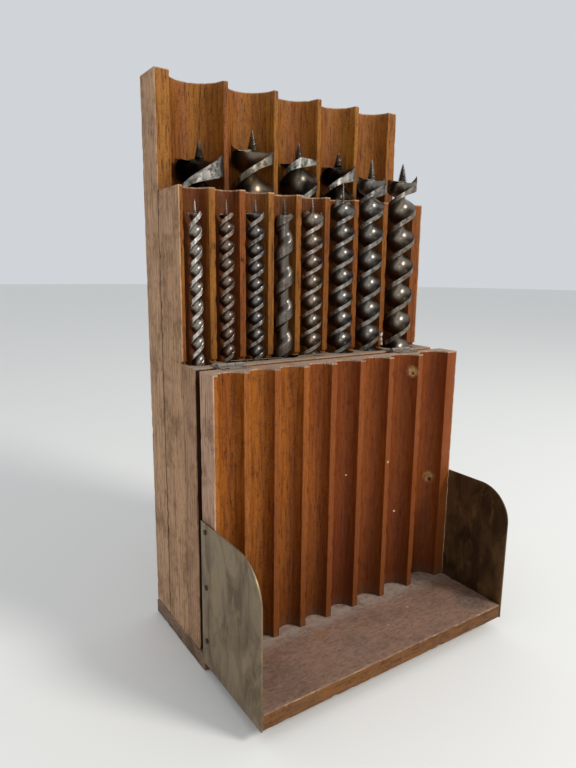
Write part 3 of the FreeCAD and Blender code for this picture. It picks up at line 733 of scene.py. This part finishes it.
def twist(size, r, z0, z1, shank_radius):
    """The twisted part: one section screwed up the axis, its ribs running out into the neck.

    At the head each rib widens on its leading side into a wing under the cutting edge. Both its
    sides are ground down from the edge, and a spur stands on the rim.
    """
    ribs = 1 if size == SOLID_CENTRE else 2
    pitch = RIB_PITCHES[size] * MM
    lead = pitch * ribs
    head_angle = math.radians(HEAD_ANGLES[size])
    section = twist_section(size, r)
    turn = 2 * math.pi * (z1 - z0) / lead
    start = Matrix.Rotation(head_angle - turn, 2)
    bpy.ops.object.select_all(action="DESELECT")
    bpy.ops.mesh.primitive_circle_add(vertices=len(section), radius=r, location=(0, 0, 0),
                                      fill_type="NOTHING")
    bar = bpy.context.object
    for v, point in zip(bar.data.vertices, section):
        v.co = (start @ point).to_3d() + Vector((0, 0, z0))
    steps = int(STEPS_PER_TURN * turn / (2 * math.pi))
    finish_with(bar, "SCREW", axis="Z", angle=turn, screw_offset=z1 - z0, steps=steps, render_steps=steps,
                use_normal_calculate=True)

    lag = math.radians(HEAD_LAGS.get(size, 0))
    half = math.asin(rib_half(r))
    wing_growth = math.radians(WINGS[size]) / half - 1
    wing_depth = WING_DEPTHS.get(size, WING_DEPTH)
    spurs = SPURS.get(size, SPUR_PAIR)
    for v in bar.data.vertices:
        below = (z1 - v.co.z) / pitch
        flat = Vector((v.co.x, v.co.y))
        first_rib = head_angle - 2 * math.pi * (z1 - v.co.z) / lead
        ahead = (math.atan2(flat.y, flat.x) - first_rib + math.pi / ribs) % (2 * math.pi)
        rib, off = divmod(ahead, 2 * math.pi / ribs)
        off -= math.pi / ribs
        side = off / half
        out = min(1.0, flat.length / r / LAND_REACH)
        swing = lag * (1 - math.exp(-below / LAG_FADE))
        if off > 0:
            wing = 1 - eased((below - wing_depth + WING_FADE / 2) / WING_FADE)
            swing += wing_growth * off * wing * out ** 4
            ground = LEADING_GRIND * r * min(1.0, side) * out
        else:
            ground = TRAILING_GRIND * r * min(1.0, -side) * (1 - out ** 6)
        v.co.z = min(v.co.z, z1 - ground)
        if below < TOP_RING:
            v.co.z += spurs[int(rib)] * r * math.exp(-((side + SPUR_LAG) / SPUR_WIDTH) ** 2) * out ** 12
        flat.rotate(Matrix.Rotation(swing, 2))
        if size == SOLID_CENTRE:
            flat *= SOLID_BREADTH
        up = (v.co.z - z0) / (NECK_LENGTH * r)
        if up < 1:
            limit = shank_radius + (r - shank_radius) * max(up, 0) ** NECK_CURVE
            flat *= min(1.0, limit / flat.length)
        v.co.x, v.co.y = flat
    return bar


def head_cap(bar, count, z1, r):
    """Closes the twist's top, its last count points, with a flat floor sunk below the cutting edges."""
    pick(bar)
    bpy.ops.object.mode_set(mode="EDIT")
    bpy.ops.mesh.select_mode(type="VERT")
    bpy.ops.mesh.select_all(action="DESELECT")
    bpy.ops.object.mode_set(mode="OBJECT")
    for v in bar.data.vertices[-count:]:
        v.select = True
    bpy.ops.object.mode_set(mode="EDIT")
    # drawn in and down to the floor's level, and then in once more along it
    for scale, level in ((0.94, 0), (0.5, 1)):
        bpy.ops.mesh.extrude_edges_move()
        bpy.ops.transform.resize(value=(scale, scale, level), center_override=(0, 0, z1 - HEAD_FLOOR * r))
    bpy.ops.mesh.edge_face_add()
    bpy.ops.object.mode_set(mode="OBJECT")
    return bar


def lead_screw(z0, z1, radius):
    """A blunt, tapering corkscrew: an eccentric round section, twisted a turn each 0.8 mm or so."""
    turns = max(4, int((z1 - z0) / THREAD_PITCH))
    bpy.ops.object.select_all(action="DESELECT")
    bpy.ops.mesh.primitive_circle_add(vertices=SCREW_SIDES, radius=THREAD_CORE * radius,
                                      location=(THREAD_SWING * radius, 0, z0), fill_type="NOTHING")
    screw = bpy.context.object
    bpy.ops.object.transform_apply(location=True, rotation=True, scale=True)
    steps = turns * SCREW_SIDES
    finish_with(screw, "SCREW", axis="Z", angle=2 * math.pi * turns, screw_offset=z1 - z0, steps=steps,
                render_steps=steps)
    for v in screw.data.vertices:
        up = (v.co.z - z0) / (z1 - z0)
        scale = max(SCREW_POINT, 1 - up) ** SCREW_TAPER
        v.co.x *= scale
        v.co.y *= scale
    pick(screw)
    bpy.ops.object.mode_set(mode="EDIT")
    bpy.ops.mesh.select_all(action="SELECT")
    bpy.ops.mesh.fill_holes(sides=0)
    bpy.ops.object.mode_set(mode="OBJECT")
    return screw


def auger_bit(size, axis, head_z):
    """One bit, from its tang on the base board to the tip of its lead screw."""
    low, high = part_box("auger_bit_%d" % size)
    diameter = size * SIXTEENTH
    r = diameter / 2
    shank_radius = 1.7 * MM + 0.14 * diameter
    twist_length = 92 * MM + 1.5 * diameter
    twist_z = head_z - twist_length
    bar = twist(size, r, twist_z, head_z, shank_radius)
    head_cap(bar, len(twist_section(size, r)), head_z, r)
    tang_top = low.z + TANG_LENGTH
    shank = rod(0, 0, tang_top - SHANK_OVERLAP, twist_z + SHANK_OVERLAP, shank_radius, sides=32)
    tang_side = 6.4 * MM + 0.12 * diameter
    tang = rod(0, 0, low.z, tang_top, TANG_TIP, sides=4, top_radius=tang_side * SQUARE_CORNER)
    finish_with(tang, "BEVEL", width=TANG_CHAMFER, segments=2)
    screw = lead_screw(head_z - SCREW_SINK * r, high.z, LEAD_SCREW_RADII[size] * MM)
    bit = join("bit_%d_steel" % size, [bar, shank, tang, screw])
    bit.data.transform(Matrix.Translation((*axis, 0)))
    pick(bit)
    bpy.ops.object.mode_set(mode="EDIT")
    bpy.ops.mesh.select_all(action="SELECT")
    bpy.ops.mesh.normals_make_consistent(inside=False)
    bpy.ops.object.mode_set(mode="OBJECT")
    return shade_smooth(bit, sharpest=38)


STEEL_ROUGHNESS = 0.28
RUSTED_STEEL_ROUGHNESS = 0.7
STEEL_RUST = "#6A4630"


def tool_steel(name, seed, axis, r, head_z, bright, dark, flute, rust_share):
    """Forged tool steel: the flutes dark, partly with old patina and partly with painted shade and a painted
    reflection of the dark bores; the lands at the rim worn bright.
    """
    material, tree, shader, place = new_finish(name, {"Metallic": 1.0})
    shifted = add_node(tree, "Mapping", {"Vector": place,
                                         "Location": (seed * 11, seed * 7, seed * 3)}).outputs[0]
    # patina in patches of 3 mm
    patina = add_node(tree, "TexNoise", {"Vector": shifted, "Scale": 0.32, "Detail": 6.0,
                                         "Roughness": 0.7}).outputs["Fac"]
    land = lay_over(tree, bright, dark, (patina, 0.42, 0.62))
    # the lands are what lies near the rim, measured from the bit's axis in millimetres
    centred = add_node(tree, "Mapping", {"Vector": place, "Location": (-axis[0] / MM, -axis[1] / MM, 0),
                                         "Scale": (1, 1, 0)}).outputs[0]
    reach = add_node(tree, "VectorMath", {0: centred}, operation="LENGTH").outputs["Value"]
    worn = add_node(tree, "Math", {0: reach, 1: patina}, operation="ADD").outputs[0]
    height = add_node(tree, "SeparateXYZ", {0: place}).outputs[2]
    # the lead screw, above the head, is half worn
    colour = lay_over(tree, flute, land, (height, head_z / MM + 0.3, head_z / MM + 1.5), 0.55)
    # the flutes keep their dark colour, partly patina and partly painted shade; the lands near the rim take
    # the land colour
    colour = lay_over(tree, colour, land, (worn, 0.88 * r / MM + 0.35, 0.96 * r / MM + 0.5))
    # rust in spots of 2 mm
    spots = add_node(tree, "TexNoise", {"Vector": shifted, "Scale": 0.55, "Detail": 5.0, "Roughness": 0.7})
    edge = 0.78 - 0.45 * rust_share
    rusted = share_of(tree, (spots.outputs["Fac"], edge, edge + 0.10))
    colour = lay_over(tree, colour, STEEL_RUST, rusted)
    rough = add_node(tree, "MapRange", {"Value": patina, "To Min": STEEL_ROUGHNESS - 0.08,
                                        "To Max": STEEL_ROUGHNESS + 0.14}).outputs["Result"]
    dull = add_node(tree, "Mix", {0: rusted, 2: rough, 3: RUSTED_STEEL_ROUGHNESS}, data_type="FLOAT")
    # forging marks and pits under a millimetre
    pits = add_node(tree, "TexNoise", {"Vector": shifted, "Scale": 1.4, "Detail": 5.0, "Roughness": 0.65})
    give_surface(tree, shader, colour, dull.outputs[0], pits.outputs["Fac"], 0.3, 0.3 * MM)
    return material


# each bit's look: bright land, dark land, flute, and how much rust; the flute colour is partly old patina and
# partly painted shade
BIT_LOOKS = {
    4: ("#D8D2C8", "#8A8278", "#8A8278", 0.05), 5: ("#A2907F", "#64534A", "#74655A", 0.45),
    6: ("#9A948E", "#56504C", "#6E6863", 0.12), 7: ("#8E867C", "#544B42", "#665F57", 0.45),
    8: ("#A89C90", "#6E5E50", "#85786B", 0.48), 9: ("#98928A", "#58524C", "#7C766F", 0.12),
    10: ("#908A82", "#544E48", "#79736C", 0.10), 11: ("#90867A", "#5A5043", "#7D7367", 0.18),
    12: ("#9A948C", "#4E4842", "#6A635A", 0.15), 13: ("#B0A89E", "#4A4238", "#3C342C", 0.12),
    14: ("#A8A49A", "#504A40", "#5C554A", 0.12), 15: ("#9A9080", "#585040", "#7C6E5C", 0.20),
    16: ("#A8A298", "#443E36", "#3E362E", 0.12),
}
for bores, joint_y in ((front_bores, front_joint_y), (back_bores, back_joint_y)):
    for size, (bore_x, _) in bores.items():
        node = "auger_bit_%d" % size
        axis = (bore_x + LEANS[size] * MM, joint_y)
        head_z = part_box(node)[1].z - LEAD_SCREW_HEIGHTS[size] * MM
        steel = tool_steel("tool_steel_%d" % size, size, axis, size * SIXTEENTH / 2, head_z, *BIT_LOOKS[size])
        dress(auger_bit(size, axis, head_z), steel, "bit_%d" % size, node)

# ---------------------------------------------------------------- floor, lights and camera
# A plain pale floor under soft studio light: a broad lamp high on the right, a small weak one behind
# the camera, and a pale surround that fills the shadows.
bpy.ops.object.select_all(action="DESELECT")
bpy.ops.mesh.primitive_circle_add(vertices=96, radius=6.0, fill_type="NGON", location=(0, 0, 0))
studio_floor = bpy.context.object
studio_floor.name = "studio_floor"
# matt paint, rolled on: it takes soft shadows and gives no glint
floor_paint = new_finish("matt_floor_paint", {"Roughness": 0.75, "Base Color": "#ECEBE6"})[0]
studio_floor.data.materials.append(floor_paint)


def soft_lamp(name, spot, target, size, power, colour):
    """A round area lamp at a spot, facing its target."""
    data = bpy.data.lights.new(name, "AREA")
    data.shape = "DISK"
    data.size = size
    data.energy = power
    data.color = colour
    lamp = bpy.data.objects.new(name, data)
    bpy.context.scene.collection.objects.link(lamp)
    lamp.location = spot
    lamp.rotation_euler = (Vector(target) - Vector(spot)).to_track_quat("-Z", "Y").to_euler()


soft_lamp("key_lamp", (0.60, -1.05, 0.95), (0, 0, 0.14), size=0.40, power=13, colour=(1.0, 0.98, 0.95))
soft_lamp("window_lamp", (-0.34, -0.66, 0.34), (0, 0, 0.18), size=0.06, power=0.5, colour=(0.96, 0.98, 1.0))

world = bpy.data.worlds.new("pale_surround")
bpy.context.scene.world = world
world.use_nodes = True
background = world.node_tree.nodes["Background"]
background.inputs["Color"].default_value = linear("#D0D4D9")
background.inputs["Strength"].default_value = 1.0

CAMERA_PLACE = (-0.19604, -0.28224, 0.20625)
CAMERA_YAW = math.radians(33.555)
CAMERA_PITCH = math.radians(11.297)
CAMERA_ROLL = math.radians(0.598)
CAMERA_LENS = 27.892                  # millimetres, with a sensor of 36 mm
camera_data = bpy.data.cameras.new("camera")
camera_data.lens = CAMERA_LENS
camera_data.sensor_width = 36
camera_data.clip_start = 0.01
camera = bpy.data.objects.new("camera", camera_data)
bpy.context.scene.collection.objects.link(camera)
forward = Vector((math.sin(CAMERA_YAW) * math.cos(CAMERA_PITCH),
                  math.cos(CAMERA_YAW) * math.cos(CAMERA_PITCH),
                  -math.sin(CAMERA_PITCH)))
level = Vector((math.cos(CAMERA_YAW), -math.sin(CAMERA_YAW), 0))
right = math.cos(CAMERA_ROLL) * level + math.sin(CAMERA_ROLL) * level.cross(forward)
up = right.cross(forward)
turned = Matrix((right, up, -forward)).transposed()
camera.matrix_world = Matrix.Translation(CAMERA_PLACE) @ turned.to_4x4()
bpy.context.scene.camera = camera
bpy.context.scene.view_settings.view_transform = "Standard"
